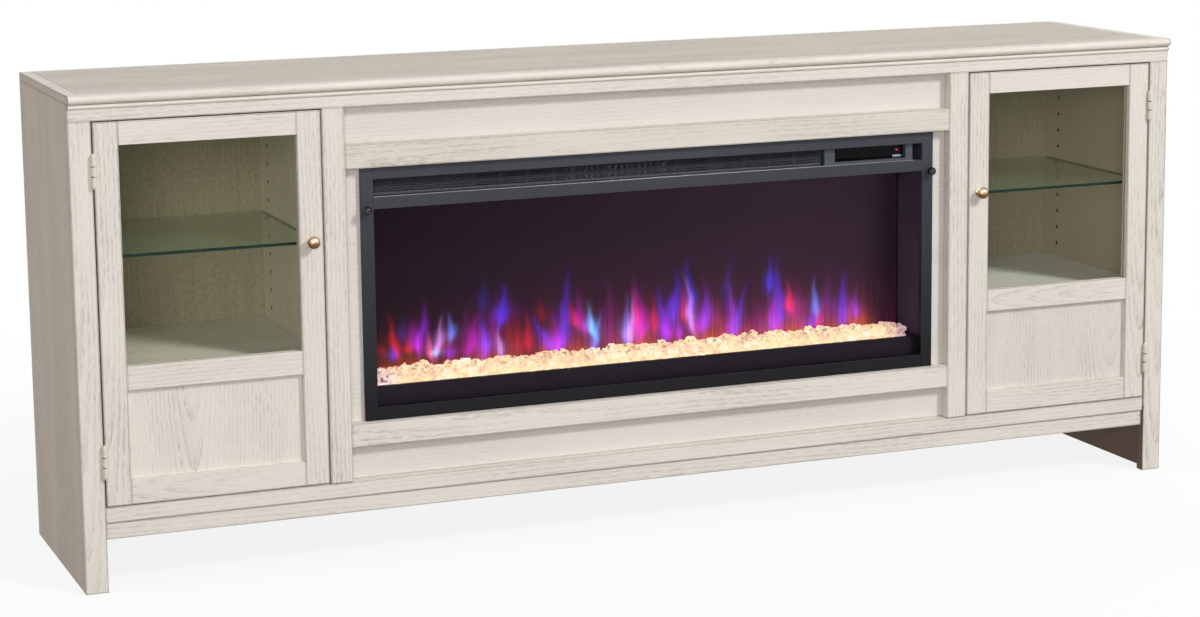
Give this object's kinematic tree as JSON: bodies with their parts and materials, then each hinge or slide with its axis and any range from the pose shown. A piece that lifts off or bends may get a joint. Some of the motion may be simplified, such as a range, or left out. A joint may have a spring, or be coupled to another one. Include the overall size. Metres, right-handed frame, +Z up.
{
  "type": "fireplace tv stand",
  "caption": "Long low media cabinet in whitewashed oak: a glazed cupboard with shelves at each end, and an electric fire with crystal bed, flame window and heater vent in the middle.",
  "frame": {"origin": "on the floor, under the middle of the object's box", "axes": "+X to the right along the front, +Y to the back, +Z up"},
  "size_m": [2.032, 0.43, 0.813],
  "materials": {
    "whitewashed_oak": "satin lacquer over limed grain",
    "back_board": "plain veneered board",
    "clear_glass": "polished",
    "smoked_glass": "polished, tinted",
    "frosted_screen": "etched",
    "ice_crystal": "polished facets",
    "antique_brass": "aged, burnished",
    "painted_hinge": "brushed over with the oak's wash",
    "pin_steel": "plated",
    "black_powder_coat": "fine satin texture",
    "gloss_black": "gloss",
    "matte_black": "moulded",
    "red_lens": "translucent red",
    "bright_aluminium": "bright rolled",
    "motor_can": "plated",
    "circuit_board": "white solder mask"
  },
  "bodies": {
    "cabinet": {"top_panel": "whitewashed_oak", "top_edge_lippings": "whitewashed_oak", "under_top_bead": "whitewashed_oak", "frieze_rail": "whitewashed_oak", "left_side_panel": "whitewashed_oak", "right_side_panel": "whitewashed_oak", "left_front_post": "whitewashed_oak", "right_front_post": "whitewashed_oak", "left_centre_stile": "whitewashed_oak", "right_centre_stile": "whitewashed_oak", "bottom_rail": "whitewashed_oak", "apron_rail": "whitewashed_oak", "left_partition": "whitewashed_oak", "right_partition": "whitewashed_oak", "bottom_panel": "whitewashed_oak", "left_fixed_shelf": "whitewashed_oak", "right_fixed_shelf": "whitewashed_oak", "surround_panel": "whitewashed_oak", "upper_surround_rail": "whitewashed_oak", "lower_surround_rail": "whitewashed_oak", "insert_deck": "back_board", "left_back_panel": "back_board", "centre_back_panel": "back_board", "right_back_panel": "back_board", "left_glass_shelf": "clear_glass", "right_glass_shelf": "clear_glass", "fire_front_glass": "smoked_glass", "flame_screen": "frosted_screen", "crystal_bed": "ice_crystal", "hinge_post_leaves": "painted_hinge", "hinge_pins": "painted_hinge", "shelf_pins": "pin_steel", "fire_trim_frame": "black_powder_coat", "firebox_shell": "black_powder_coat", "vent_grille": "black_powder_coat", "ember_tray": "black_powder_coat", "trim_knobs": "gloss_black", "control_panel": "gloss_black", "door_catches": "matte_black", "cord_gland": "matte_black", "heating_element": "bright_aluminium", "drive_motors": "motor_can", "led_board": "circuit_board"},
    "left_door": {"left_door_hinge_stile": "whitewashed_oak", "left_door_lock_stile": "whitewashed_oak", "left_door_rails": "whitewashed_oak", "left_door_glass": "clear_glass", "left_door_panel": "whitewashed_oak", "left_door_knob": "antique_brass", "left_door_fittings": "painted_hinge"},
    "right_door": {"right_door_hinge_stile": "whitewashed_oak", "right_door_lock_stile": "whitewashed_oak", "right_door_rails": "whitewashed_oak", "right_door_glass": "clear_glass", "right_door_panel": "whitewashed_oak", "right_door_knob": "antique_brass", "right_door_fittings": "painted_hinge"},
    "blower": {"blower_wheel": "matte_black"},
    "flame_drum": {"flame_spindle": "bright_aluminium"},
    "button": {"power_button": "red_lens"}
  },
  "joints": [
    {"name": "left_door_hinge", "type": "hinge", "parent": "cabinet", "child": "left_door", "pos_m": [-0.9775, -0.1954, 0.456], "axis": [0, 0, -1], "range_deg": [0, 170]},
    {"name": "right_door_hinge", "type": "hinge", "parent": "cabinet", "child": "right_door", "pos_m": [0.9775, -0.1954, 0.456], "axis": [0, 0, 1], "range_deg": [0, 170]},
    {"name": "blower_spin", "type": "hinge", "parent": "cabinet", "child": "blower", "pos_m": [-0.06, -0.077, 0.63225], "axis": [1, 0, 0], "continuous": true},
    {"name": "flame_spin", "type": "hinge", "parent": "cabinet", "child": "flame_drum", "pos_m": [0, -0.041, 0.2855], "axis": [1, 0, 0], "continuous": true},
    {"name": "power_button_press", "type": "slide", "parent": "cabinet", "child": "button", "axis": [0, 1, 0], "range_m": [0, 0.0015], "stiffness_N_per_m": 300}
  ]
}
